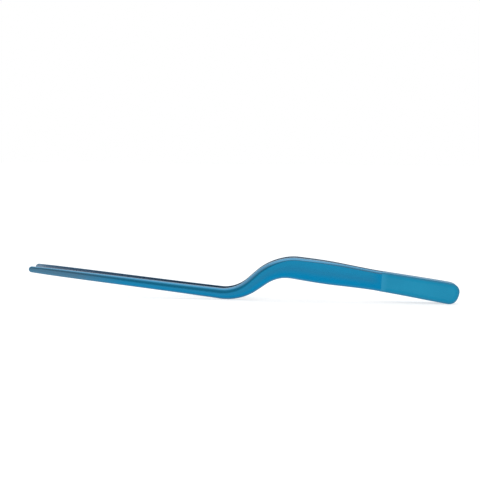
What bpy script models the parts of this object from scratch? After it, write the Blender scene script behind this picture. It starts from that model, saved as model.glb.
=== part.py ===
"""Bayonet forceps: two sprung arms joined at the rear around a spacer.

Frame: metres, +Z up, tips towards -X, joined rear end towards +X, arms side by side along Y.
The forceps stands on the lower edges of its arms' lower bends and of its joint's rear end. The
origin is under the middle of its length, on that surface, in the centre plane between the arms.

Each arm is one long leaf with a D-shaped section: a flat inner face and a rounded outer face.
It is split at the middle of its spring stretch into a moving arm and a fixed tang.
"""

import math

import bmesh
import bpy
from mathutils import Matrix, Vector

MM = 0.001

# Side profile, along the middle of the arm from the tip to the rear end.
SHAFT_LENGTH = 91.4 * MM
SHAFT_SLOPE = math.radians(-6.1)
LOWER_BEND_RADIUS = 20.5 * MM
RISER_LENGTH = 5.4 * MM
RISER_SLOPE = math.radians(38.5)
UPPER_BEND_RADIUS = 21.8 * MM
HANDLE_LENGTH = 74.2 * MM
HANDLE_FRONT_SLOPE = math.radians(-7.3)
HANDLE_REAR_SLOPE = math.radians(-9.25)
REAR_END_SLOPE = math.radians(-16.0)

# Height of the arm across that line.
TIP_HEIGHT = 2.8 * MM
JAW_HEIGHT = 3.4 * MM
SHAFT_HEIGHT = 5.0 * MM
RISER_HEIGHT = 7.25 * MM
BEND_MIDDLE_HEIGHT = 8.5 * MM
BEND_END_HEIGHT = 9.95 * MM
GRIP_HEIGHT = 10.35 * MM
WAIST_HEIGHT = 8.95 * MM
REAR_HEIGHT = 9.65 * MM
JAW_LENGTH = 11.5 * MM
GRIP_BEHIND_BEND = 12.0 * MM
NOSE_ROUND = 1.5 * MM
REAR_ROUND = 4.7 * MM
REAR_SQUARENESS = 2.4

# Thickness of one arm, across the centre plane.
TIP_THICKNESS = 1.25 * MM
SHAFT_THICKNESS = 2.4 * MM
GRIP_THICKNESS = 2.7 * MM
GRIP_REAR_THICKNESS = 2.15 * MM
SPRING_THICKNESS = 1.4 * MM
TANG_THICKNESS = 1.75 * MM
GRIP_REAR_AHEAD_OF_FLEX = 14.0 * MM
SPRING_LENGTH = 8.0 * MM

# Shoulder of the outer face, as (drop down the face, reach across the thickness, curve). A curve
# of 2 is a quarter of an ellipse, and one nearer 1 is closer to a bevel.
TIP_SHOULDER = (0.9 * MM, 0.6 * MM, 2.0)
SHAFT_SHOULDER = (2.35 * MM, 1.95 * MM, 2.0)
RISER_SHOULDER = (2.25 * MM, 1.85 * MM, 2.0)
GRIP_SHOULDER = (1.0 * MM, 1.5 * MM, 1.35)
SPRING_SHOULDER = (0.95 * MM, 0.85 * MM, 1.35)
TANG_SHOULDER = (0.4 * MM, 0.4 * MM, 2.0)
MOST_DROP = 0.95
SHOULDER_ENDS_AHEAD_OF_JOINT = 1.0 * MM
TANG_STARTS_BEHIND_JOINT = 0.5 * MM
INNER_EDGE_CHAMFER = 0.12 * MM

# Joint and opening of the arms.
JOINT_LENGTH = 35.2 * MM
SPACER_THICKNESS = 2.0 * MM
SEAM = 0.15 * MM
SPLAY = math.radians(1.1)
FLEX_AHEAD_OF_JOINT = 10.5 * MM
FLEX_GAP = 0.2 * MM
PLATFORM_LENGTH = 10.0 * MM
PLATFORM_GAP_CLOSED = 0.1 * MM

# Pins.
JOINT_PIN_DIAMETER = 1.5 * MM
JOINT_PIN_DEPTH = 0.8 * MM
JOINT_PIN_FROM_JOINT_FRONT = 8.0 * MM
JOINT_PIN_FROM_REAR = 9.0 * MM
GUIDE_PIN_DIAMETER = 1.6 * MM
GUIDE_PIN_DEPTH = 1.3 * MM
GUIDE_PIN_AHEAD_OF_FLEX = 29.0 * MM
GUIDE_PIN_SHORT_OF_ARM = 0.35 * MM
GUIDE_BORE_DIAMETER = 2.3 * MM
GUIDE_BORE_DEPTH = 1.75 * MM
PIN_CLEARANCE = 0.15 * MM
PIN_CHAMFER = 0.15 * MM
PIN_SEGMENTS = 24

STATION_STEP = 8.0 * MM
BEND_STEP = 2.2 * MM
SHOULDER_STEPS = 5
END_STEPS = 6
NOSE_START_TURN = math.radians(10)
END_TURN = math.radians(80)
BEND_TURN = math.radians(10)
LEAST_STEP = 0.05 * MM

ANODISED_BLUE = (0.013, 0.222, 0.412, 1.0)
BLASTED_BLUE = (0.021, 0.263, 0.456, 1.0)
STEEL_GREY = (0.52, 0.53, 0.55, 1.0)

# The side profile as runs of (length, slope at the start, slope at the end).
PROFILE_RUNS = (
    (SHAFT_LENGTH, SHAFT_SLOPE, SHAFT_SLOPE),
    (LOWER_BEND_RADIUS * (RISER_SLOPE - SHAFT_SLOPE), SHAFT_SLOPE, RISER_SLOPE),
    (RISER_LENGTH, RISER_SLOPE, RISER_SLOPE),
    (UPPER_BEND_RADIUS * (RISER_SLOPE - HANDLE_FRONT_SLOPE), RISER_SLOPE, HANDLE_FRONT_SLOPE),
    (HANDLE_LENGTH - REAR_ROUND, HANDLE_FRONT_SLOPE, HANDLE_REAR_SLOPE),
    (REAR_ROUND, HANDLE_REAR_SLOPE, REAR_END_SLOPE),
)
RUN_STARTS = [sum(run[0] for run in PROFILE_RUNS[:i]) for i in range(len(PROFILE_RUNS) + 1)]
ARM_LENGTH = RUN_STARTS[-1]
JOINT_START = ARM_LENGTH - JOINT_LENGTH
FLEX_AT = JOINT_START - FLEX_AHEAD_OF_JOINT
GUIDE_PIN_AT = FLEX_AT - GUIDE_PIN_AHEAD_OF_FLEX
TANG_INNER = SPACER_THICKNESS / 2 + SEAM

RISER_MIDDLE = (RUN_STARTS[2] + RUN_STARTS[3]) / 2
UPPER_BEND_MIDDLE = (RUN_STARTS[3] + RUN_STARTS[4]) / 2
UPPER_BEND_END = RUN_STARTS[4]
SPRING_START = FLEX_AT - SPRING_LENGTH / 2
SPRING_END = FLEX_AT + SPRING_LENGTH / 2

HEIGHTS = (
    (0.0, TIP_HEIGHT),
    (JAW_LENGTH, JAW_HEIGHT),
    (SHAFT_LENGTH, SHAFT_HEIGHT),
    (RISER_MIDDLE, RISER_HEIGHT),
    (UPPER_BEND_MIDDLE, BEND_MIDDLE_HEIGHT),
    (UPPER_BEND_END, BEND_END_HEIGHT),
    (UPPER_BEND_END + GRIP_BEHIND_BEND, GRIP_HEIGHT),
    (JOINT_START, WAIST_HEIGHT),
    (ARM_LENGTH - REAR_ROUND, REAR_HEIGHT),
    (ARM_LENGTH, REAR_HEIGHT),
)
THICKNESSES = (
    (0.0, TIP_THICKNESS),
    (SHAFT_LENGTH, SHAFT_THICKNESS),
    (UPPER_BEND_END, GRIP_THICKNESS),
    (FLEX_AT - GRIP_REAR_AHEAD_OF_FLEX, GRIP_REAR_THICKNESS),
    (SPRING_START, SPRING_THICKNESS),
    (SPRING_END, SPRING_THICKNESS),
    (JOINT_START, TANG_THICKNESS),
    (ARM_LENGTH, TANG_THICKNESS),
)
SHOULDERS = (
    (0.0, TIP_SHOULDER),
    (SHAFT_LENGTH, SHAFT_SHOULDER),
    (RISER_MIDDLE, RISER_SHOULDER),
    (UPPER_BEND_END, GRIP_SHOULDER),
    (SPRING_START, SPRING_SHOULDER),
    (JOINT_START - SHOULDER_ENDS_AHEAD_OF_JOINT, SPRING_SHOULDER),
    (JOINT_START + TANG_STARTS_BEHIND_JOINT, TANG_SHOULDER),
    (ARM_LENGTH, TANG_SHOULDER),
)


def eased(knots, at):
    """Value of a smooth curve through the knots, with no overshoot between them."""
    places = [knot[0] for knot in knots]
    values = [knot[1] for knot in knots]
    rises = [(values[i + 1] - values[i]) / (places[i + 1] - places[i]) for i in range(len(knots) - 1)]
    slopes = [rises[0]]
    for before, after in zip(rises, rises[1:]):
        same_way = before * after > 0
        slopes.append(2 * before * after / (before + after) if same_way else 0.0)
    slopes.append(rises[-1])
    at = min(max(at, places[0]), places[-1])
    i = min(sum(place <= at for place in places[1:]), len(rises) - 1)
    span = places[i + 1] - places[i]
    t = (at - places[i]) / span
    start = (1 + 2 * t) * (1 - t) ** 2 * values[i] + t * (1 - t) ** 2 * span * slopes[i]
    end = t * t * (3 - 2 * t) * values[i + 1] + t * t * (t - 1) * span * slopes[i + 1]
    return start + end


def unplaced_centre(at):
    """Point (x, z) and slope of the profile's middle line, measured from its tip."""
    x = z = 0.0
    for length, slope, end_slope in PROFILE_RUNS:
        done = min(at, length)
        turn = (end_slope - slope) / length
        angle = slope + turn * done
        if turn:
            x += (math.sin(angle) - math.sin(slope)) / turn
            z += (math.cos(slope) - math.cos(angle)) / turn
        else:
            x += done * math.cos(slope)
            z += done * math.sin(slope)
        at -= done
        if at <= 0:
            break
    return x, z, angle


def end_factor(at):
    """Share of the full height that is left in the rounded nose and rear end."""
    if at < NOSE_ROUND:
        return math.sqrt(max(0.0, 1 - (1 - at / NOSE_ROUND) ** 2))
    into_round = (at - ARM_LENGTH + REAR_ROUND) / REAR_ROUND
    if into_round > 0:
        return max(0.0, 1 - into_round ** REAR_SQUARENESS) ** (1 / REAR_SQUARENESS)
    return 1.0


def half_height(at):
    return eased(HEIGHTS, at) * end_factor(at) / 2


def shoulder(at):
    """Drop, reach and curve of the outer face's shoulder."""
    drop, reach, curve = (eased([(place, row[k]) for place, row in SHOULDERS], at) for k in range(3))
    return min(drop, MOST_DROP * half_height(at)), reach, curve


def thickness(at):
    """Thickness of the arm, drawn in over the reach of its shoulder at both ends."""
    full = eased(THICKNESSES, at)
    reach = shoulder(at)[1]
    from_end = min(at, ARM_LENGTH - at)
    if from_end >= reach:
        return full
    return full - reach * (1 - math.sqrt(max(0.0, 1 - (1 - from_end / reach) ** 2)))


def stations(start, end):
    """Places along the profile between start and end, closer together in bends and round ends."""
    places = {start, end}
    for i, (length, slope, end_slope) in enumerate(PROFILE_RUNS):
        step = BEND_STEP if abs(end_slope - slope) > BEND_TURN else STATION_STEP
        count = max(1, round(length / step))
        places.update(RUN_STARTS[i] + length * k / count for k in range(1, count))
        places.add(RUN_STARTS[i])
    places.update(PLATFORM_LENGTH * k for k in (0.5, 1.0))
    places.update(place for place, _ in SHOULDERS)
    for k in range(END_STEPS + 1):
        turn = NOSE_START_TURN + END_TURN * k / END_STEPS
        places.add(NOSE_ROUND * (1 - math.cos(turn)))
        rear = math.sin(END_TURN * k / END_STEPS) ** (2 / REAR_SQUARENESS)
        places.add(ARM_LENGTH - REAR_ROUND * (1 - rear))
    kept = [start]
    for place in sorted(places):
        if start < place < end and place - kept[-1] > LEAST_STEP and end - place > LEAST_STEP:
            kept.append(place)
    return kept + [end]


NOSE_END = NOSE_ROUND * (1 - math.cos(NOSE_START_TURN))
REAR_END = ARM_LENGTH - REAR_ROUND * (1 - math.sin(END_TURN) ** (2 / REAR_SQUARENESS))


def placement():
    """Shift (x, z) that centres the profile's length and stands its lower edge on Z = 0."""
    corners = []
    for at in stations(NOSE_END, REAR_END):
        x, z, slope = unplaced_centre(at)
        for side in (-1, 1):
            reach = side * half_height(at)
            corners.append((x - reach * math.sin(slope), z + reach * math.cos(slope)))
    low_x = min(corner[0] for corner in corners)
    high_x = max(corner[0] for corner in corners)
    return -(low_x + high_x) / 2, -min(corner[1] for corner in corners)


SHIFT_X, SHIFT_Z = placement()


def centre(at):
    x, z, slope = unplaced_centre(at)
    return x + SHIFT_X, z + SHIFT_Z, slope


JOINT_FRONT_X = centre(JOINT_START)[0]
FLEX_X, FLEX_Z, FLEX_SLOPE = centre(FLEX_AT)
PLATFORM_REAR_X = centre(PLATFORM_LENGTH)[0]


def splayed_inner(x):
    return TANG_INNER + max(0.0, JOINT_FRONT_X - x) * math.tan(SPLAY)


PLATFORM_REACH = FLEX_X - PLATFORM_REAR_X
CLOSING_ANGLE = math.asin((splayed_inner(PLATFORM_REAR_X) - PLATFORM_GAP_CLOSED / 2) / PLATFORM_REACH)


def inner_y(at):
    """Distance of the arm's flat inner face from the centre plane, with the arms at rest."""
    x = centre(at)[0]
    if x < PLATFORM_REAR_X:
        return splayed_inner(PLATFORM_REAR_X) + (PLATFORM_REAR_X - x) * math.tan(CLOSING_ANGLE)
    return splayed_inner(x)


FLEX_Y = inner_y(FLEX_AT) + SPRING_THICKNESS / 2


def arm_section(at):
    """D-shaped section as (distance from the inner face, height) points, anticlockwise."""
    high = half_height(at)
    thick = thickness(at)
    drop, reach, curve = shoulder(at)
    chamfer = min(INNER_EDGE_CHAMFER, high - drop + drop / SHOULDER_STEPS ** 2)
    upper = [(0.0, high - chamfer), (chamfer, high)]
    for k in range(SHOULDER_STEPS + 1):
        turn = math.pi / 2 * (1 - k / SHOULDER_STEPS)
        across = thick - reach + reach * max(0.0, math.cos(turn)) ** (2 / curve)
        upper.append((across, high - drop + drop * max(0.0, math.sin(turn)) ** (2 / curve)))
    lower = [(across, -up) for across, up in reversed(upper)]
    return upper + lower


def material(name, colour, roughness):
    made = bpy.data.materials.new(name)
    made.use_nodes = True
    shader = made.node_tree.nodes["Principled BSDF"]
    shader.inputs["Base Color"].default_value = colour
    shader.inputs["Metallic"].default_value = 1.0
    shader.inputs["Roughness"].default_value = roughness
    return made


def add_object(name, mesh, home, finish=None, at=(0, 0, 0)):
    mesh.transform(Matrix.Translation(-Vector(at)))
    made = bpy.data.objects.new(name, mesh)
    made.location = at
    home.objects.link(made)
    if finish:
        mesh.materials.append(finish)
    return made


def arm_piece(name, side, start, end, home, finish, at=(0, 0, 0)):
    """Loft of the arm between two stations. side is -1 for the left arm and +1 for the right."""
    bm = bmesh.new()
    rings = []
    for place in stations(start, end):
        x, z, slope = centre(place)
        inner = inner_y(place)
        ring = []
        for across, up in arm_section(place):
            point = (x - up * math.sin(slope), side * (inner + across), z + up * math.cos(slope))
            ring.append(bm.verts.new(point))
        rings.append(ring)
    for near, far in zip(rings, rings[1:]):
        for i in range(len(near)):
            j = (i + 1) % len(near)
            bm.faces.new((near[i], near[j], far[j], far[i]))
    bm.faces.new(rings[0])
    bm.faces.new(rings[-1])
    bmesh.ops.recalc_face_normals(bm, faces=bm.faces)
    mesh = bpy.data.meshes.new(name)
    bm.to_mesh(mesh)
    bm.free()
    return add_object(name, mesh, home, finish, at)


def pin(name, diameter, start_y, end_y, place, home, finish=None, at=(0, 0, 0)):
    """Cylinder along Y, from start_y to end_y, through the arm's middle line at place."""
    x, z, _ = centre(place)
    bm = bmesh.new()
    bmesh.ops.create_cone(
        bm,
        cap_ends=True,
        segments=PIN_SEGMENTS,
        radius1=diameter / 2,
        radius2=diameter / 2,
        depth=end_y - start_y,
    )
    bmesh.ops.rotate(bm, verts=bm.verts, matrix=Matrix.Rotation(math.pi / 2, 3, "X"))
    bmesh.ops.translate(bm, verts=bm.verts, vec=(x, (start_y + end_y) / 2, z))
    mesh = bpy.data.meshes.new(name)
    bm.to_mesh(mesh)
    bm.free()
    made = add_object(name, mesh, home, finish, at)
    if finish:
        mesh.shade_smooth()
        mesh.set_sharp_from_angle(angle=math.radians(30))
        bevel = made.modifiers.new("chamfer", "BEVEL")
        bevel.width = PIN_CHAMFER
        bevel.segments = 1
        bevel.limit_method = "ANGLE"
        bevel.angle_limit = math.radians(60)
    return made


def spacer(name, home, finish):
    """Flat plate that fills the joint between the tangs, with the same edges as they have."""
    places = stations(JOINT_START, REAR_END)
    outline = []
    for side in (1, -1):
        for place in places if side > 0 else reversed(places):
            x, z, slope = centre(place)
            reach = side * half_height(place)
            outline.append((x - reach * math.sin(slope), z + reach * math.cos(slope)))
    curve = bpy.data.curves.new(name + "_outline", "CURVE")
    curve.dimensions = "2D"
    curve.fill_mode = "BOTH"
    curve.extrude = SPACER_THICKNESS / 2
    spline = curve.splines.new("POLY")
    spline.points.add(len(outline) - 1)
    for point, (x, z) in zip(spline.points, outline):
        point.co = (x, z, 0, 1)
    spline.use_cyclic_u = True
    flat = bpy.data.objects.new(name + "_outline", curve)
    home.objects.link(flat)
    flat.rotation_euler = (math.pi / 2, 0, 0)
    bpy.context.view_layer.update()
    mesh = bpy.data.meshes.new_from_object(flat.evaluated_get(bpy.context.evaluated_depsgraph_get()))
    mesh.transform(flat.matrix_world)
    bpy.data.objects.remove(flat)
    bm = bmesh.new()
    bm.from_mesh(mesh)
    bmesh.ops.remove_doubles(bm, verts=bm.verts, dist=0.001 * MM)
    bmesh.ops.recalc_face_normals(bm, faces=bm.faces)
    bm.to_mesh(mesh)
    bm.free()
    return add_object(name, mesh, home, finish)


def bore(piece, cutter):
    cut = piece.modifiers.new("bore_" + cutter.name, "BOOLEAN")
    cut.operation = "DIFFERENCE"
    cut.solver = "EXACT"
    cut.object = cutter
    cutter.hide_render = True
    cutter.display_type = "WIRE"


def collection(name):
    made = bpy.data.collections.new(name)
    bpy.context.scene.collection.children.link(made)
    return made


def main():
    for old in list(bpy.data.objects):
        bpy.data.objects.remove(old, do_unlink=True)
    parts = collection("bayonet_forceps")
    cutters = collection("cutters")

    satin = material("anodised_satin_blue", ANODISED_BLUE, 0.32)
    blasted = material("anodised_blasted_blue", BLASTED_BLUE, 0.5)
    steel = material("pin_steel", STEEL_GREY, 0.3)

    arms = {}
    tangs = {}
    for hand, side in (("left", -1), ("right", 1)):
        hinge = (FLEX_X, side * FLEX_Y, FLEX_Z)
        front = (NOSE_END, FLEX_AT - FLEX_GAP / 2)
        rear = (FLEX_AT + FLEX_GAP / 2, REAR_END)
        arms[hand] = arm_piece(hand + "_arm", side, *front, parts, satin, hinge)
        tangs[hand] = arm_piece(hand + "_arm_tang", side, *rear, parts, blasted)
    block = spacer("joint_spacer", parts, blasted)

    pin_reach = TANG_INNER + JOINT_PIN_DEPTH
    bore_reach = pin_reach + PIN_CLEARANCE
    bore_diameter = JOINT_PIN_DIAMETER + 2 * PIN_CLEARANCE
    for name, place in (
        ("front_joint_pin", JOINT_START + JOINT_PIN_FROM_JOINT_FRONT),
        ("rear_joint_pin", ARM_LENGTH - JOINT_PIN_FROM_REAR),
    ):
        pin(name, JOINT_PIN_DIAMETER, -pin_reach, pin_reach, place, parts, steel)
        hole = pin(name + "_hole", bore_diameter, -bore_reach, bore_reach, place, cutters)
        for piece in (tangs["left"], tangs["right"], block):
            bore(piece, hole)

    face = inner_y(GUIDE_PIN_AT)
    root = face + GUIDE_PIN_DEPTH
    point = -face + GUIDE_PIN_SHORT_OF_ARM
    guide_hinge = arms["right"].location
    guide = pin(
        "guide_pin", GUIDE_PIN_DIAMETER, point, root, GUIDE_PIN_AT, parts, steel, guide_hinge
    )
    guide.parent = arms["right"]
    guide.location = (0, 0, 0)
    socket_reach = root + PIN_CLEARANCE
    socket_diameter = GUIDE_PIN_DIAMETER + 2 * PIN_CLEARANCE
    socket = pin("guide_pin_socket", socket_diameter, 0, socket_reach, GUIDE_PIN_AT, cutters)
    bore(arms["right"], socket)
    blind = pin("guide_bore", GUIDE_BORE_DIAMETER, -face - GUIDE_BORE_DEPTH, 0, GUIDE_PIN_AT, cutters)
    bore(arms["left"], blind)


main()
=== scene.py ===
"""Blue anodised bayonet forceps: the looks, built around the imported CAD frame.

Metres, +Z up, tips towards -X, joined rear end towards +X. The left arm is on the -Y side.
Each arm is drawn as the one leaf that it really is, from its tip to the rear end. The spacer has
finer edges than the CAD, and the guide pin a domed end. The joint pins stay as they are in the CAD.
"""

import math

import bmesh
import bpy
import numpy as np
from mathutils import Matrix, Vector
from mathutils.kdtree import KDTree


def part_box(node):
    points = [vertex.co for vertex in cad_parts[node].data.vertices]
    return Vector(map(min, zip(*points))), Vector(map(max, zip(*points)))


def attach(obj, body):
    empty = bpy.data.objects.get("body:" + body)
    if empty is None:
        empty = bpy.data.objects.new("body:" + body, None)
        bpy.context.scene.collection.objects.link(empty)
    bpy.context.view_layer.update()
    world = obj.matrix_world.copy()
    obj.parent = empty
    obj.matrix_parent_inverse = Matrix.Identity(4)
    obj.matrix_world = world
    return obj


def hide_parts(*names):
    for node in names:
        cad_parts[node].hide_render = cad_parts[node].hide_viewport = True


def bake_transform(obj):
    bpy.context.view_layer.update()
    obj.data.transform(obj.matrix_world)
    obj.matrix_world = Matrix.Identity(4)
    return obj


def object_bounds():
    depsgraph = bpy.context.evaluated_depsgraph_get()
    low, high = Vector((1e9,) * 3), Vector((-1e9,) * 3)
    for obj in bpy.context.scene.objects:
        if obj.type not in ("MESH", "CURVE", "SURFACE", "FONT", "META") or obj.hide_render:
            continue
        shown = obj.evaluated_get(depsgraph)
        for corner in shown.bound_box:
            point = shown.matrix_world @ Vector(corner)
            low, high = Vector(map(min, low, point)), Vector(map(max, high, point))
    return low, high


MM = 0.001

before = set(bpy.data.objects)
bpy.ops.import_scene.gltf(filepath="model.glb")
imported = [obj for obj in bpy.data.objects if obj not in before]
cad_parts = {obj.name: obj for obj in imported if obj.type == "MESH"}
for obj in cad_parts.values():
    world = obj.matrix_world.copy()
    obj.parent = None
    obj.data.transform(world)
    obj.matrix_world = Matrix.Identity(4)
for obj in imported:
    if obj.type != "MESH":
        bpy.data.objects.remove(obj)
cad_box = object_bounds()

# Side profile, along the middle of the arm from the tip to the rear end, as in the CAD.
SHAFT_LENGTH = 91.4 * MM
SHAFT_SLOPE = math.radians(-6.1)
LOWER_BEND_RADIUS = 20.5 * MM
RISER_LENGTH = 5.4 * MM
RISER_SLOPE = math.radians(38.5)
UPPER_BEND_RADIUS = 21.8 * MM
HANDLE_LENGTH = 74.2 * MM
HANDLE_FRONT_SLOPE = math.radians(-7.3)
HANDLE_REAR_SLOPE = math.radians(-9.25)
REAR_END_SLOPE = math.radians(-16.0)

TIP_HEIGHT = 2.8 * MM
JAW_HEIGHT = 3.4 * MM
SHAFT_HEIGHT = 5.0 * MM
RISER_HEIGHT = 7.25 * MM
BEND_MIDDLE_HEIGHT = 8.5 * MM
BEND_END_HEIGHT = 9.95 * MM
GRIP_HEIGHT = 10.35 * MM
WAIST_HEIGHT = 8.95 * MM
REAR_HEIGHT = 9.65 * MM
JAW_LENGTH = 11.5 * MM
GRIP_BEHIND_BEND = 12.0 * MM
NOSE_ROUND = 1.5 * MM
REAR_ROUND = 4.7 * MM
REAR_SQUARENESS = 2.4

TIP_THICKNESS = 1.25 * MM
SHAFT_THICKNESS = 2.4 * MM
GRIP_THICKNESS = 2.7 * MM
GRIP_REAR_THICKNESS = 2.15 * MM
SPRING_THICKNESS = 1.4 * MM
TANG_THICKNESS = 1.75 * MM
GRIP_REAR_AHEAD_OF_FLEX = 14.0 * MM
SPRING_LENGTH = 8.0 * MM

# Shoulder of the outer face, as (drop down the face, reach across the thickness, curve). A curve
# of 2 is a quarter of an ellipse, and one nearer 1 is closer to a bevel.
TIP_SHOULDER = (0.9 * MM, 0.6 * MM, 2.0)
SHAFT_SHOULDER = (2.35 * MM, 1.95 * MM, 2.0)
RISER_SHOULDER = (2.25 * MM, 1.85 * MM, 2.0)
GRIP_SHOULDER = (1.0 * MM, 1.5 * MM, 1.35)
SPRING_SHOULDER = (0.95 * MM, 0.85 * MM, 1.35)
TANG_SHOULDER = (0.4 * MM, 0.4 * MM, 2.0)
MOST_DROP = 0.95
SHOULDER_ENDS_AHEAD_OF_JOINT = 1.0 * MM
TANG_STARTS_BEHIND_JOINT = 0.5 * MM

JOINT_LENGTH = 35.2 * MM
SPACER_THICKNESS = 2.0 * MM
CAD_SEAM = 0.15 * MM
SPLAY = math.radians(1.1)
FLEX_AHEAD_OF_JOINT = 10.5 * MM
PLATFORM_LENGTH = 10.0 * MM
PLATFORM_GAP_CLOSED = 0.1 * MM

# Sizes that only the looks need.
EDGE_ROUND = 0.12 * MM
SEAM = 0.02 * MM
PIN_FIT = 0.02 * MM
GUIDE_BORE_RADIUS = 1.15 * MM
GUIDE_BORE_DEPTH = 1.75 * MM
FINISH_LINE_TILT = math.tan(math.radians(3))
JOINT_PINS = ("front_joint_pin", "rear_joint_pin")

# How finely the meshes are made.
STRAIGHT_STEP = 1.4 * MM
BEND_STEP = 0.7 * MM
BEND_TURN = math.radians(10)
JOINT_STEP = 0.25 * MM
JOINT_STEPS = range(-6, 5)
END_STEPS = 25
LEAST_STEP = 0.1 * MM
LEAST_END_STEP = 0.003 * MM
NOSE_START_TURN = math.radians(2)
REAR_END_TURN = math.radians(89)
OUTER_STEPS = 9
INNER_STEPS = 3
FRONT_EDGE_STEPS = 4
PAST_SHOULDER = 0.1 * MM
MOST_PAST_SHOULDER = 0.2
HALFWAY_ROW = 0.45
ROUND_SEGMENTS = 48
DOME_STEPS = 8
LEAST_EDGE = 0.006 * MM
LEAST_SQUARE = 1e-18
SHARP_FROM = math.radians(32)

# Vertex attributes: distance from the outline, distance along the arm from its tip, height on
# the face from -1 to 1, share of the painted highlight's width down from the outline along the
# upper shoulder, 1 on the inner face, and distance behind the finish line.
MARKS = ("edge", "along", "up", "highlight_band", "inside", "behind")
# Value of the painted highlight's mark away from the outer face's upper half.
OFF_HIGHLIGHT = 9.0

PROFILE_RUNS = (
    (SHAFT_LENGTH, SHAFT_SLOPE, SHAFT_SLOPE),
    (LOWER_BEND_RADIUS * (RISER_SLOPE - SHAFT_SLOPE), SHAFT_SLOPE, RISER_SLOPE),
    (RISER_LENGTH, RISER_SLOPE, RISER_SLOPE),
    (UPPER_BEND_RADIUS * (RISER_SLOPE - HANDLE_FRONT_SLOPE), RISER_SLOPE, HANDLE_FRONT_SLOPE),
    (HANDLE_LENGTH - REAR_ROUND, HANDLE_FRONT_SLOPE, HANDLE_REAR_SLOPE),
    (REAR_ROUND, HANDLE_REAR_SLOPE, REAR_END_SLOPE),
)
RUN_STARTS = [sum(run[0] for run in PROFILE_RUNS[:i]) for i in range(len(PROFILE_RUNS) + 1)]
ARM_LENGTH = RUN_STARTS[-1]
JOINT_START = ARM_LENGTH - JOINT_LENGTH
FLEX_AT = JOINT_START - FLEX_AHEAD_OF_JOINT
TANG_INNER = SPACER_THICKNESS / 2 + CAD_SEAM

RISER_MIDDLE = (RUN_STARTS[2] + RUN_STARTS[3]) / 2
UPPER_BEND_MIDDLE = (RUN_STARTS[3] + RUN_STARTS[4]) / 2
UPPER_BEND_END = RUN_STARTS[4]
SPRING_START = FLEX_AT - SPRING_LENGTH / 2
SPRING_END = FLEX_AT + SPRING_LENGTH / 2

HEIGHTS = (
    (0.0, TIP_HEIGHT),
    (JAW_LENGTH, JAW_HEIGHT),
    (SHAFT_LENGTH, SHAFT_HEIGHT),
    (RISER_MIDDLE, RISER_HEIGHT),
    (UPPER_BEND_MIDDLE, BEND_MIDDLE_HEIGHT),
    (UPPER_BEND_END, BEND_END_HEIGHT),
    (UPPER_BEND_END + GRIP_BEHIND_BEND, GRIP_HEIGHT),
    (JOINT_START, WAIST_HEIGHT),
    (ARM_LENGTH - REAR_ROUND, REAR_HEIGHT),
    (ARM_LENGTH, REAR_HEIGHT),
)
THICKNESSES = (
    (0.0, TIP_THICKNESS),
    (SHAFT_LENGTH, SHAFT_THICKNESS),
    (UPPER_BEND_END, GRIP_THICKNESS),
    (FLEX_AT - GRIP_REAR_AHEAD_OF_FLEX, GRIP_REAR_THICKNESS),
    (SPRING_START, SPRING_THICKNESS),
    (SPRING_END, SPRING_THICKNESS),
    (JOINT_START, TANG_THICKNESS),
    (ARM_LENGTH, TANG_THICKNESS),
)
SHOULDERS = (
    (0.0, TIP_SHOULDER),
    (SHAFT_LENGTH, SHAFT_SHOULDER),
    (RISER_MIDDLE, RISER_SHOULDER),
    (UPPER_BEND_END, GRIP_SHOULDER),
    (SPRING_START, SPRING_SHOULDER),
    (JOINT_START - SHOULDER_ENDS_AHEAD_OF_JOINT, SPRING_SHOULDER),
    (JOINT_START + TANG_STARTS_BEHIND_JOINT, TANG_SHOULDER),
    (ARM_LENGTH, TANG_SHOULDER),
)
# Width of the painted highlight, a paler strip along the outer face's upper shoulder.
HIGHLIGHT_WIDTHS = (
    (0.0, 0.35 * MM),
    (SHAFT_LENGTH, 0.45 * MM),
    (RISER_MIDDLE, 1.35 * MM),
    (UPPER_BEND_END, 1.0 * MM),
    (ARM_LENGTH, 0.95 * MM),
)


def eased(knots, at):
    """Value of a smooth curve through the knots, with no overshoot between them."""
    places = [knot[0] for knot in knots]
    values = [knot[1] for knot in knots]
    rises = [(values[i + 1] - values[i]) / (places[i + 1] - places[i]) for i in range(len(knots) - 1)]
    slopes = [rises[0]]
    for before, after in zip(rises, rises[1:]):
        same_way = before * after > 0
        slopes.append(2 * before * after / (before + after) if same_way else 0.0)
    slopes.append(rises[-1])
    at = min(max(at, places[0]), places[-1])
    i = min(sum(place <= at for place in places[1:]), len(rises) - 1)
    span = places[i + 1] - places[i]
    t = (at - places[i]) / span
    start = (1 + 2 * t) * (1 - t) ** 2 * values[i] + t * (1 - t) ** 2 * span * slopes[i]
    end = t * t * (3 - 2 * t) * values[i + 1] + t * t * (t - 1) * span * slopes[i + 1]
    return start + end


def unplaced_centre(at):
    """Point (x, z) and slope of the profile's middle line, measured from its tip."""
    x = z = 0.0
    for length, slope, end_slope in PROFILE_RUNS:
        done = min(at, length)
        turn = (end_slope - slope) / length
        angle = slope + turn * done
        if turn:
            x += (math.sin(angle) - math.sin(slope)) / turn
            z += (math.cos(slope) - math.cos(angle)) / turn
        else:
            x += done * math.cos(slope)
            z += done * math.sin(slope)
        at -= done
        if at <= 0:
            break
    return x, z, angle


def end_factor(at):
    """Share of the full height that is left in the rounded nose and rear end."""
    if at < NOSE_ROUND:
        return math.sqrt(max(0.0, 1 - (1 - at / NOSE_ROUND) ** 2))
    into_round = (at - ARM_LENGTH + REAR_ROUND) / REAR_ROUND
    if into_round > 0:
        return max(0.0, 1 - into_round ** REAR_SQUARENESS) ** (1 / REAR_SQUARENESS)
    return 1.0


def half_height(at):
    return eased(HEIGHTS, at) * end_factor(at) / 2


def in_nose(turn):
    """Place in the rounded nose, from its point at no turn to its end at a right angle."""
    return NOSE_ROUND * (1 - math.cos(turn))


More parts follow.
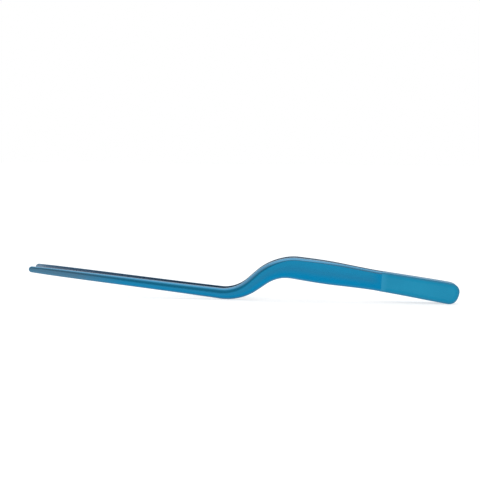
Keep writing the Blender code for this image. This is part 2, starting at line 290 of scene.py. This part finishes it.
def in_rear(turn):
    """Place in the rounded rear end, from its start at no turn to its point at a right angle."""
    return ARM_LENGTH - REAR_ROUND * (1 - math.sin(turn) ** (2 / REAR_SQUARENESS))


def stations(start, end):
    """Places along the profile, closer together in bends and closest in round ends."""
    places = {start, end}
    for i, (length, slope, end_slope) in enumerate(PROFILE_RUNS):
        step = BEND_STEP if abs(end_slope - slope) > BEND_TURN else STRAIGHT_STEP
        count = round(length / step)
        places.update(RUN_STARTS[i] + length * k / count for k in range(count + 1))
    places.update(JOINT_START + k * JOINT_STEP for k in JOINT_STEPS)
    for k in range(1, END_STEPS):
        turn = math.radians(90 * k / END_STEPS)
        places.update((in_nose(turn), in_rear(turn)))
    kept = [start]
    for place in sorted(places):
        in_end = min(place, ARM_LENGTH - place) < REAR_ROUND
        least = LEAST_END_STEP if in_end else LEAST_STEP
        if start < place < end and place - kept[-1] > least and end - place > least:
            kept.append(place)
    return kept + [end]


NOSE_END = in_nose(NOSE_START_TURN)
REAR_END = in_rear(REAR_END_TURN)


def off_line(point, up):
    """Point (x, z) at the height up across the profile's middle line, square to it."""
    x, z, slope = point
    return x - up * math.sin(slope), z + up * math.cos(slope)


def placement():
    """Shift (x, z) that puts this profile where the CAD has it, from the frame's own box."""
    low, high = cad_box
    edges = []
    for at in stations(NOSE_END, REAR_END):
        edges += [off_line(unplaced_centre(at), side * half_height(at)) for side in (-1, 1)]
    low_x = min(edge[0] for edge in edges)
    high_x = max(edge[0] for edge in edges)
    return (low[0] + high[0]) / 2 - (low_x + high_x) / 2, low[2] - min(edge[1] for edge in edges)


SHIFT_X, SHIFT_Z = placement()


def centre(at):
    """Point (x, z) and slope of the profile's middle line, where the CAD has it."""
    x, z, slope = unplaced_centre(at)
    return x + SHIFT_X, z + SHIFT_Z, slope


JOINT_FRONT_X = centre(JOINT_START)[0]
FLEX_X = centre(FLEX_AT)[0]
PLATFORM_REAR_X = centre(PLATFORM_LENGTH)[0]


def splayed_inner(x):
    return TANG_INNER + max(0.0, JOINT_FRONT_X - x) * math.tan(SPLAY)


PLATFORM_REACH = FLEX_X - PLATFORM_REAR_X
CLOSING_ANGLE = math.asin((splayed_inner(PLATFORM_REAR_X) - PLATFORM_GAP_CLOSED / 2) / PLATFORM_REACH)


def inner_y(at):
    """Distance of the arm's flat inner face from the centre plane, with the arms at rest."""
    x = centre(at)[0]
    if x < PLATFORM_REAR_X:
        return splayed_inner(PLATFORM_REAR_X) + (PLATFORM_REAR_X - x) * math.tan(CLOSING_ANGLE)
    return splayed_inner(x)


def shoulder(at):
    """Drop, reach and curve of the outer face's shoulder."""
    drop, reach, curve = (eased([(place, row[k]) for place, row in SHOULDERS], at) for k in range(3))
    return min(drop, MOST_DROP * eased(HEIGHTS, at) / 2), reach, curve


def side_fractions(full, drop, steps):
    """Places up one half of a face, as shares of its half height, from the edge to the middle."""
    shares = [1 - drop / full * (1 - math.cos(math.pi / 2 * k / steps)) for k in range(steps + 1)]
    flat = shares[-1]
    past_shoulder = flat - min(PAST_SHOULDER / full, MOST_PAST_SHOULDER * flat)
    return shares + [past_shoulder, flat * HALFWAY_ROW, 0.0]


def edge_distance(places):
    """Function that gives the distance of a point (x, z) from the outline of those places."""
    upper = [off_line(centre(at), half_height(at)) for at in places]
    lower = [off_line(centre(at), -half_height(at)) for at in reversed(places)]
    starts = np.array(upper + lower)
    runs = np.roll(starts, -1, axis=0) - starts
    squares = np.maximum((runs ** 2).sum(axis=1), LEAST_SQUARE)

    def distance(point):
        along = np.clip(((point - starts) * runs).sum(axis=1) / squares, 0, 1)
        nearest = starts + runs * along[:, None]
        return math.sqrt(((point - nearest) ** 2).sum(axis=1).min())

    return distance


def finished_piece(name, bm, rings):
    """Object of the closed skin through the rings, with flat ends. Frees the bmesh."""
    for near, far in zip(rings, rings[1:]):
        for i in range(len(near)):
            j = (i + 1) % len(near)
            bm.faces.new((near[i], near[j], far[j], far[i]))
    bm.faces.new(rings[0])
    bm.faces.new(rings[-1])
    bmesh.ops.remove_doubles(bm, verts=bm.verts, dist=LEAST_EDGE)
    bmesh.ops.recalc_face_normals(bm, faces=bm.faces)
    mesh = bpy.data.meshes.new(name)
    bm.to_mesh(mesh)
    bm.free()
    piece = bpy.data.objects.new(name, mesh)
    bpy.context.scene.collection.objects.link(piece)
    return piece


def slab(name, places, inner_face, outer_face):
    """Closed plate with the profile's outline. Each face is a function that gives, for a place
    along it, the face's y and its edge round as (drop, reach, curve). The round follows the whole
    outline, ends included. The vertices carry the attributes in MARKS."""
    distance_from_edge = edge_distance(places)
    bm = bmesh.new()
    marks = {mark: bm.verts.layers.float.new(mark) for mark in MARKS}

    def half_ring(at, level, edge_round, steps, is_outer):
        drop, reach, curve = edge_round
        half = side_fractions(eased(HEIGHTS, at) / 2, drop, steps)
        shares = half + [-share for share in reversed(half[:-1])]
        for share in shares if is_outer else reversed(shares):
            x, z = off_line(centre(at), share * half_height(at))
            distance = distance_from_edge(np.array((x, z)))
            into = max(0.0, 1 - distance / drop)
            sunk = abs(reach) * (1 - max(0.0, 1 - into ** curve) ** (1 / curve))
            vert = bm.verts.new((x, level - math.copysign(sunk, reach), z))
            vert[marks["edge"]] = distance
            vert[marks["along"]] = at
            vert[marks["up"]] = share
            vert[marks["inside"]] = 0.0 if is_outer else 1.0
            # The painted highlight lies only on the outer face's upper half.
            on_highlight_band = is_outer and share > 0
            vert[marks["highlight_band"]] = distance / eased(HIGHLIGHT_WIDTHS, at) if on_highlight_band else OFF_HIGHLIGHT
            vert[marks["behind"]] = behind_finish_line(x, z)
            yield vert

    rings = []
    for at in places:
        ring = list(half_ring(at, *outer_face(at), OUTER_STEPS, True))
        ring += half_ring(at, *inner_face(at), INNER_STEPS, False)
        rings.append(ring)
    return finished_piece(name, bm, rings)


def behind_finish_line(x, z):
    """Distance behind the line where the satin finish ends and the blasted one starts."""
    line_x = JOINT_FRONT_X + (z - centre(JOINT_START)[1]) * FINISH_LINE_TILT
    return x - line_x


def arm(name, side):
    """One whole arm. side is -1 for the left arm and +1 for the right."""

    def inner(at):
        return side * inner_y(at), (EDGE_ROUND, -side * EDGE_ROUND, 2.0)

    def outer(at):
        drop, reach, curve = shoulder(at)
        return side * (inner_y(at) + eased(THICKNESSES, at)), (drop, side * reach, curve)

    return slab(name, stations(NOSE_END, REAR_END), inner, outer)


def spacer(name):
    """Plate between the tangs, a hairline short of each of them."""
    half = TANG_INNER - SEAM
    places = stations(JOINT_START, REAR_END)
    for k in range(1, FRONT_EDGE_STEPS + 1):
        turn = math.pi / 2 * k / FRONT_EDGE_STEPS
        places.append(JOINT_START + EDGE_ROUND * (1 - math.cos(turn)))

    def left(at):
        return -half, (EDGE_ROUND, -EDGE_ROUND, 2.0)

    def right(at):
        return half, (EDGE_ROUND, EDGE_ROUND, 2.0)

    return slab(name, sorted(set(places)), left, right)


def cylinder(name, radius, start_y, end_y, x, z, dome=0.0):
    """Pin or cutter along Y. A dome rounds the end at start_y over that length."""
    profile = [(radius, end_y), (radius, start_y + dome)]
    for k in range(1, DOME_STEPS if dome else 1):
        turn = math.pi / 2 * k / DOME_STEPS
        profile.append((radius * math.cos(turn), start_y + dome * (1 - math.sin(turn))))
    turns = [2 * math.pi * k / ROUND_SEGMENTS for k in range(ROUND_SEGMENTS)]
    bm = bmesh.new()
    rings = []
    for r, y in profile:
        rings.append([bm.verts.new((x + r * math.cos(t), y, z + r * math.sin(t))) for t in turns])
    return finished_piece(name, bm, rings)


def cut(piece, cutters):
    """Cuts the cutters out of the piece for good and removes them. The new vertices take the
    attributes of the nearest old ones."""
    before = piece.data
    for cutter in cutters:
        change = piece.modifiers.new("bore", "BOOLEAN")
        change.operation = "DIFFERENCE"
        change.solver = "EXACT"
        change.object = cutter
    bpy.context.view_layer.update()
    seen = piece.evaluated_get(bpy.context.evaluated_depsgraph_get())
    mesh = bpy.data.meshes.new_from_object(seen)
    bm = bmesh.new()
    bm.from_mesh(mesh)
    bmesh.ops.remove_doubles(bm, verts=bm.verts, dist=LEAST_EDGE)
    bmesh.ops.dissolve_degenerate(bm, edges=bm.edges, dist=LEAST_EDGE)
    bm.to_mesh(mesh)
    bm.free()
    piece.modifiers.clear()
    piece.data = mesh
    for cutter in cutters:
        bpy.data.objects.remove(cutter)
    nearest = KDTree(len(before.vertices))
    for vert in before.vertices:
        nearest.insert(vert.co, vert.index)
    nearest.balance()
    for mark in MARKS:
        old = before.attributes[mark].data
        new = mesh.attributes[mark].data
        for vert in mesh.vertices:
            new[vert.index].value = old[nearest.find(vert.co)[1]].value


def finish_surface(piece, material):
    piece.data.shade_smooth()
    piece.data.set_sharp_from_angle(angle=SHARP_FROM)
    cover(piece, material)


def cover(piece, material):
    piece.data.materials.clear()
    piece.data.materials.append(material)


def middle(node):
    """Middle of a CAD node's box."""
    low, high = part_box(node)
    return [(a + b) / 2 for a, b in zip(low, high)]


class Nodes:
    """A material's node tree with short calls for adding and joining nodes."""

    def __init__(self, name):
        self.material = bpy.data.materials.new(name)
        self.material.use_nodes = True
        self.tree = self.material.node_tree
        self.shader = self.tree.nodes["Principled BSDF"]

    def add(self, kind, **values):
        """New node. Each value is for a property of the node, or else for an input."""
        node = self.tree.nodes.new(kind)
        for key, value in values.items():
            if hasattr(node, key):
                setattr(node, key, value)
            else:
                node.inputs[key].default_value = value
        return node

    def join(self, source, target):
        """Links a socket into an input, or sets the input to a fixed value."""
        if isinstance(source, bpy.types.NodeSocket):
            self.tree.links.new(source, target)
        else:
            target.default_value = source

    def blend(self, factor, colour_a, colour_b):
        mix = self.add("ShaderNodeMix", data_type="RGBA")
        for index, value in ((0, factor), (6, colour_a), (7, colour_b)):
            self.join(value, mix.inputs[index])
        return mix.outputs[2]

    def ramp(self, value, span, start, end):
        """Goes from start to end as the value crosses the span, and stays there beyond it."""
        node = self.add("ShaderNodeMapRange", clamp=True)
        names = ("Value", "From Min", "From Max", "To Min", "To Max")
        for name, source in zip(names, (value, *span, start, end)):
            self.join(source, node.inputs[name])
        return node.outputs["Result"]

    def noise(self, stretch, scale, detail=3.0, roughness=0.5):
        """Noise in object space, stretched along the axes by the given factors."""
        place = self.add("ShaderNodeTexCoord")
        mapping = self.add("ShaderNodeMapping", Scale=stretch)
        self.join(place.outputs["Object"], mapping.inputs["Vector"])
        texture = self.add("ShaderNodeTexNoise", Scale=scale, Detail=detail, Roughness=roughness)
        self.join(mapping.outputs["Vector"], texture.inputs["Vector"])
        return texture.outputs["Fac"]

    def mark(self, name):
        """One of the vertex attributes in MARKS."""
        return self.add("ShaderNodeAttribute", attribute_name=name).outputs["Fac"]

    def maths(self, operation, *values):
        node = self.add("ShaderNodeMath", operation=operation)
        for value, target in zip(values, node.inputs):
            self.join(value, target)
        return node.outputs["Value"]

    def wavering(self, name, patches, width):
        """A vertex attribute whose lines waver by up to half the width either way."""
        lowered = self.maths("SUBTRACT", self.mark(name), width / 2)
        return self.maths("MULTIPLY_ADD", patches, width, lowered)

    def rise(self, height, distance, strength):
        """Bump that gives the surface a relief of the height times the distance."""
        bump = self.add("ShaderNodeBump", Strength=strength, Distance=distance)
        self.join(height, bump.inputs["Height"])
        return bump.outputs["Normal"]


# Blues of the arms.
SATIN = (0.012, 0.224, 0.412, 1.0)
# Painted shade: a duller blue a little below the middle of the face.
SATIN_PAINTED_SHADE = (0.015, 0.198, 0.372, 1.0)
# Painted reflection of the floor, a deeper blue low on the face; also painted shade ahead of the finish
# line.
SATIN_DEEP_REFLECTION_AND_SHADE = (0.002, 0.210, 0.424, 1.0)
# Painted highlight along the upper shoulder.
SATIN_HIGHLIGHT = (0.105, 0.285, 0.460, 1.0)
SATIN_SCRATCH = (0.026, 0.262, 0.455, 1.0)
BLASTED = (0.022, 0.300, 0.495, 1.0)
BLASTED_DEEP = (0.006, 0.272, 0.470, 1.0)
# Painted highlight just behind the finish line.
BLASTED_HIGHLIGHT = (0.036, 0.330, 0.540, 1.0)
BLASTED_FLECK = (0.075, 0.370, 0.570, 1.0)
TIP_GREY = (0.074, 0.172, 0.262, 1.0)
# Painted shade on the inner faces, which face the gap between the arms.
INSIDE_SHADE_GREY = (0.195, 0.255, 0.335, 1.0)
WORN_RIM = (0.075, 0.215, 0.330, 1.0)
SATIN_ROUGHNESS = (0.25, 0.34)
BLASTED_ROUGHNESS = (0.46, 0.54)

# Where one blue gives way to the next, as spans of the vertex attributes or of the noises.
# Spans of the painted reflection and painted shade down the face.
REFLECTION_TO_SHADE = (-0.5, -0.1)
SHADE_TO_SATIN = (0.0, 0.45)
# Span of the painted shade ahead of the finish line.
SHADE_BY_LINE = (-4.5 * MM, -1.0 * MM)
TIP_TO_SHAFT = (22.0 * MM, 46.0 * MM)
# Span of the painted highlight on the upper shoulder.
HIGHLIGHT_TO_FACE = (0.75, 1.1)
RIM_TO_BLASTED = (0.6 * MM, 2.4 * MM)
# Span of the painted highlight behind the finish line.
HIGHLIGHT_BY_LINE = (0.8 * MM, 3.0 * MM)
WORN_TO_FACE = (0.1 * MM, 1.25 * MM)
FINISH_LINE = (-0.10 * MM, 0.10 * MM)
SCRATCHES = (0.5, 0.75)
FLECKS = (0.55, 0.75)
MIDDLE_OF_NOISE = (0.35, 0.65)

# How strongly some of them show.
# Strength of the painted shade and the painted highlight by the finish line.
LINE_SHARE = 0.8
# Strength of the painted highlight on the upper shoulder.
HIGHLIGHT_SHARE = 0.9
SCRATCH_SHARE = 0.5
WORN_SHARE = 0.65

# How far the noise moves those lines.
# Waver of the lines of the painted reflection and painted shade down the face.
HEIGHT_WAVER = 0.25
ALONG_WAVER = 6.0 * MM
# Waver of the painted highlight's edge.
HIGHLIGHT_WAVER = 0.2
BLASTED_RIM_WAVER = 0.5 * MM
WORN_WAVER = 0.3 * MM

# Noises, as (stretch along the axes, scale, detail, roughness).
EVEN = (1, 1, 1)
PATCH_NOISE = (EVEN, 90.0, 4.0, 0.55)
STREAK_NOISE = ((1, 30, 30), 260.0, 3.0, 0.6)
GRAIN_NOISE = (EVEN, 5200.0, 2.0, 0.6)
RELIEF = 0.010 * MM
RELIEF_STRENGTH = 0.5


def satin_colour(made, patches, streaks, behind):
    """Painted reflection of the floor and painted shade down the face: deeper towards the lower edge
    and duller above it. Deeper again just ahead of the finish line, painted shade. Greyer at the tip,
    and paler along the upper shoulder, a painted highlight, with lengthwise polishing marks."""
    up = made.wavering("up", patches, HEIGHT_WAVER)
    # Painted reflection of the floor low on the face, and painted shade just above it.
    satin = made.blend(made.ramp(up, REFLECTION_TO_SHADE, 0, 1), SATIN_DEEP_REFLECTION_AND_SHADE, SATIN_PAINTED_SHADE)
    satin = made.blend(made.ramp(up, SHADE_TO_SATIN, 0, 1), satin, SATIN)
    # Painted shade just ahead of the finish line.
    satin = made.blend(made.ramp(behind, SHADE_BY_LINE, 0, LINE_SHARE), satin, SATIN_DEEP_REFLECTION_AND_SHADE)
    along = made.wavering("along", patches, ALONG_WAVER)
    satin = made.blend(made.ramp(along, TIP_TO_SHAFT, 1, 0), satin, TIP_GREY)
    # Painted highlight along the upper shoulder.
    highlight_band = made.wavering("highlight_band", patches, HIGHLIGHT_WAVER)
    satin = made.blend(made.ramp(highlight_band, HIGHLIGHT_TO_FACE, HIGHLIGHT_SHARE, 0), satin, SATIN_HIGHLIGHT)
    return made.blend(made.ramp(streaks, SCRATCHES, 0, SCRATCH_SHARE), satin, SATIN_SCRATCH)


def blasted_colour(made, patches, grain, behind):
    """Deeper along the rim, and paler just behind the finish line as a painted highlight, with a fleck
    in the grain.
    """
    edge = made.wavering("edge", patches, BLASTED_RIM_WAVER)
    blasted = made.blend(made.ramp(edge, RIM_TO_BLASTED, 0, 1), BLASTED_DEEP, BLASTED)
    # Painted highlight just behind the finish line.
    blasted = made.blend(made.ramp(behind, HIGHLIGHT_BY_LINE, LINE_SHARE, 0), blasted, BLASTED_HIGHLIGHT)
    return made.blend(made.ramp(grain, FLECKS, 0, SCRATCH_SHARE), blasted, BLASTED_FLECK)


def anodised(name):
    """Anodised titanium. Ahead of the finish line it is satin, and behind it, it is bead blasted,
    lighter and matter. The satin carries painted reflection, shade and a highlight, and the blasted
    part a painted highlight. The inner faces are greyer, a painted shade, and the metal's rim is greyer
    too, where it is worn."""
    made = Nodes(name)
    patches = made.noise(*PATCH_NOISE)
    streaks = made.noise(*STREAK_NOISE)
    grain = made.noise(*GRAIN_NOISE)
    behind = made.mark("behind")
    blast = made.ramp(behind, FINISH_LINE, 0, 1)

    satin = satin_colour(made, patches, streaks, behind)
    blasted = blasted_colour(made, patches, grain, behind)
    colour = made.blend(blast, satin, blasted)
    # Painted shade on the inner faces.
    colour = made.blend(made.mark("inside"), colour, INSIDE_SHADE_GREY)
    rim = made.wavering("edge", patches, WORN_WAVER)
    colour = made.blend(made.ramp(rim, WORN_TO_FACE, WORN_SHARE, 0), colour, WORN_RIM)
    made.join(colour, made.shader.inputs["Base Color"])

    satin_rough = made.ramp(streaks, MIDDLE_OF_NOISE, *SATIN_ROUGHNESS)
    blasted_rough = made.ramp(patches, MIDDLE_OF_NOISE, *BLASTED_ROUGHNESS)
    rough = made.ramp(blast, (0, 1), satin_rough, blasted_rough)
    made.join(rough, made.shader.inputs["Roughness"])
    relief = made.ramp(blast, (0, 1), streaks, grain)
    made.join(made.rise(relief, RELIEF, RELIEF_STRENGTH), made.shader.inputs["Normal"])
    made.shader.inputs["Metallic"].default_value = 1.0
    return made.material


STEEL = (0.55, 0.56, 0.58, 1.0)
STEEL_PALE = (0.68, 0.69, 0.70, 1.0)
STEEL_ROUGHNESS = (0.22, 0.34)
TURNING_NOISE = ((1, 60, 1), 300.0, 2.0, 0.6)
TURNING_SPAN = (0.3, 0.7)
TURNING_RELIEF = 0.003 * MM
TURNING_STRENGTH = 0.3


def pin_steel(name):
    """Ground steel with fine turning marks round the pin."""
    made = Nodes(name)
    turning = made.noise(*TURNING_NOISE)
    made.join(made.blend(turning, STEEL, STEEL_PALE), made.shader.inputs["Base Color"])
    rough = made.ramp(turning, TURNING_SPAN, *STEEL_ROUGHNESS)
    made.join(rough, made.shader.inputs["Roughness"])
    relief = made.rise(turning, TURNING_RELIEF, TURNING_STRENGTH)
    made.join(relief, made.shader.inputs["Normal"])
    made.shader.inputs["Metallic"].default_value = 1.0
    return made.material


def pin_bore(node, start_y, end_y):
    """Cutter for a joint pin's bore."""
    low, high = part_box(node)
    x, _, z = middle(node)
    return cylinder(node + "_bore", (high[0] - low[0]) / 2 + PIN_FIT, start_y, end_y, x, z)


def build_arm(hand, side, finish):
    """One arm's leaf. It has blind bores for the joint pins, and the left one has the guide pin's
    bore and the right one the socket that the guide pin stands in."""
    leaf = arm(hand + "_arm_leaf", side)
    bores = []
    for node in JOINT_PINS:
        reach = side * (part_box(node)[1][1] + PIN_FIT)
        bores.append(pin_bore(node, *sorted((0.0, reach))))
    guide_x, _, guide_z = middle("guide_pin")
    if hand == "left":
        ends = (-splayed_inner(guide_x) - GUIDE_BORE_DEPTH, 0.0)
        bores.append(cylinder("guide_bore", GUIDE_BORE_RADIUS, *ends, guide_x, guide_z))
    else:
        low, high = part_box("guide_pin")
        radius = (high[0] - low[0]) / 2 + PIN_FIT
        ends = (0.0, high[1] + PIN_FIT)
        bores.append(cylinder("guide_socket", radius, *ends, guide_x, guide_z))
    cut(leaf, bores)
    finish_surface(leaf, finish)

    slope = centre(FLEX_AT)[2]
    flex_y = side * (inner_y(FLEX_AT) + SPRING_THICKNESS / 2)
    flex = Vector((FLEX_X, flex_y, centre(FLEX_AT)[1]))
    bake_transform(leaf)
    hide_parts(hand + "_arm", hand + "_arm_tang")


def build_spacer(finish):
    block = spacer("joint_spacer_block")
    bores = []
    for node in JOINT_PINS:
        low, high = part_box(node)
        bores.append(pin_bore(node, low[1], high[1]))
    cut(block, bores)
    finish_surface(block, finish)
    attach(block, "joint")
    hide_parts("joint_spacer")


def build_guide_pin(finish):
    low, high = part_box("guide_pin")
    x, _, z = middle("guide_pin")
    radius = (high[0] - low[0]) / 2
    guide = cylinder("guide_pin_domed", radius, low[1], high[1], x, z, dome=radius)
    finish_surface(guide, finish)
    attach(guide, "right_arm")
    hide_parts("guide_pin")


def build_forceps():
    blue = anodised("anodised_arm_blue")
    steel = pin_steel("ground_pin_steel")
    build_arm("left", -1, blue)
    build_arm("right", 1, blue)
    build_spacer(anodised("anodised_spacer_blue"))
    build_guide_pin(steel)
    for node in JOINT_PINS:
        cover(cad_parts[node], steel)


CAMERA_DISTANCE = 0.370
CAMERA_AZIMUTH = math.radians(5.67)
CAMERA_PITCH = math.radians(5.94)
CAMERA_ROLL = math.radians(0.42)
CAMERA_HEIGHT = 0.06592
CAMERA_SIDE = -0.00023
CAMERA_LENS = 60.0
CAMERA_SENSOR = 36.0
CLIP_START = 0.01
CLIP_END = 50.0


def build_camera():
    """Camera on the -Y side, a little towards the rear end, looking slightly down."""
    data = bpy.data.cameras.new("camera")
    data.lens = CAMERA_LENS
    data.sensor_width = CAMERA_SENSOR
    data.clip_start = CLIP_START
    data.clip_end = CLIP_END
    camera = bpy.data.objects.new("camera", data)
    bpy.context.scene.collection.objects.link(camera)
    turn = Matrix.Rotation(CAMERA_AZIMUTH, 4, "Z") @ Matrix.Rotation(math.pi / 2 - CAMERA_PITCH, 4, "X")
    turn = turn @ Matrix.Rotation(CAMERA_ROLL, 4, "Z")
    x = CAMERA_DISTANCE * math.sin(CAMERA_AZIMUTH) + CAMERA_SIDE
    y = -CAMERA_DISTANCE * math.cos(CAMERA_AZIMUTH)
    camera.matrix_world = Matrix.Translation((x, y, CAMERA_HEIGHT)) @ turn
    bpy.context.scene.camera = camera


FLOOR_SIZE = 12.0
FLOOR_WHITE = (0.50, 0.50, 0.50, 1.0)
FLOOR_PALE = (0.49, 0.49, 0.49, 1.0)
FLOOR_NOISE = (EVEN, 40.0, 2.0, 0.5)
FLOOR_GLOW = 0.62
WHITE = (1.0, 1.0, 1.0, 1.0)
# Studio light by how squarely a direction faces the -Y side, as (share, brightness): a white
# tent behind and overhead, and the dimmer room in front of it.
STUDIO_LIGHT = ((0.0, 1.20), (0.15, 1.15), (0.40, 0.85), (0.62, 0.62), (0.85, 0.50), (1.0, 0.50))
SOFTBOX_SIZE = (1.6, 1.2)
SOFTBOX_PLACE = (0.0, 0.1, 1.4)
SOFTBOX_POWER = 2.4


def build_floor():
    """White paper that glows a little, so that it stays white up to the horizon."""
    bpy.ops.mesh.primitive_plane_add(size=FLOOR_SIZE)
    floor = bpy.context.object
    floor.name = "floor"
    paper = Nodes("floor_paper")
    tint = paper.noise(*FLOOR_NOISE)
    paper.join(paper.blend(tint, FLOOR_WHITE, FLOOR_PALE), paper.shader.inputs["Base Color"])
    paper.shader.inputs["Roughness"].default_value = 1.0
    paper.shader.inputs["Specular IOR Level"].default_value = 0.0
    paper.shader.inputs["Emission Color"].default_value = WHITE
    paper.shader.inputs["Emission Strength"].default_value = FLOOR_GLOW
    cover(floor, paper.material)


def build_studio():
    """Surroundings that light the forceps as STUDIO_LIGHT says, and look white themselves."""
    world = bpy.data.worlds.new("studio")
    bpy.context.scene.world = world
    world.use_nodes = True
    nodes = world.node_tree.nodes
    links = world.node_tree.links
    backdrop = nodes["Background"]
    backdrop.inputs["Color"].default_value = WHITE
    place = nodes.new("ShaderNodeTexCoord")
    axes = nodes.new("ShaderNodeSeparateXYZ")
    links.new(place.outputs["Generated"], axes.inputs["Vector"])
    frontward = nodes.new("ShaderNodeMath")
    frontward.operation = "MULTIPLY"
    frontward.inputs[1].default_value = -1.0
    links.new(axes.outputs["Y"], frontward.inputs[0])
    ramp = nodes.new("ShaderNodeValToRGB")
    ramp.color_ramp.interpolation = "EASE"
    while len(ramp.color_ramp.elements) < len(STUDIO_LIGHT):
        ramp.color_ramp.elements.new(0.5)
    for element, (share, bright) in zip(ramp.color_ramp.elements, STUDIO_LIGHT):
        element.position = share
        element.color = (bright, bright, bright, 1)
    links.new(frontward.outputs["Value"], ramp.inputs["Fac"])
    studio = nodes.new("ShaderNodeBackground")
    links.new(ramp.outputs["Color"], studio.inputs["Color"])
    path = nodes.new("ShaderNodeLightPath")
    mix = nodes.new("ShaderNodeMixShader")
    links.new(path.outputs["Is Camera Ray"], mix.inputs["Fac"])
    links.new(studio.outputs["Background"], mix.inputs[1])
    links.new(backdrop.outputs["Background"], mix.inputs[2])
    links.new(mix.outputs["Shader"], nodes["World Output"].inputs["Surface"])


def build_softbox():
    light = bpy.data.lights.new("ceiling_softbox", "AREA")
    light.shape = "RECTANGLE"
    light.size, light.size_y = SOFTBOX_SIZE
    light.energy = SOFTBOX_POWER
    lamp = bpy.data.objects.new("ceiling_softbox", light)
    lamp.location = SOFTBOX_PLACE
    bpy.context.scene.collection.objects.link(lamp)


build_forceps()
build_camera()
build_floor()
build_studio()
build_softbox()
bpy.context.scene.view_settings.view_transform = "Standard"
bpy.context.scene.view_settings.look = "None"
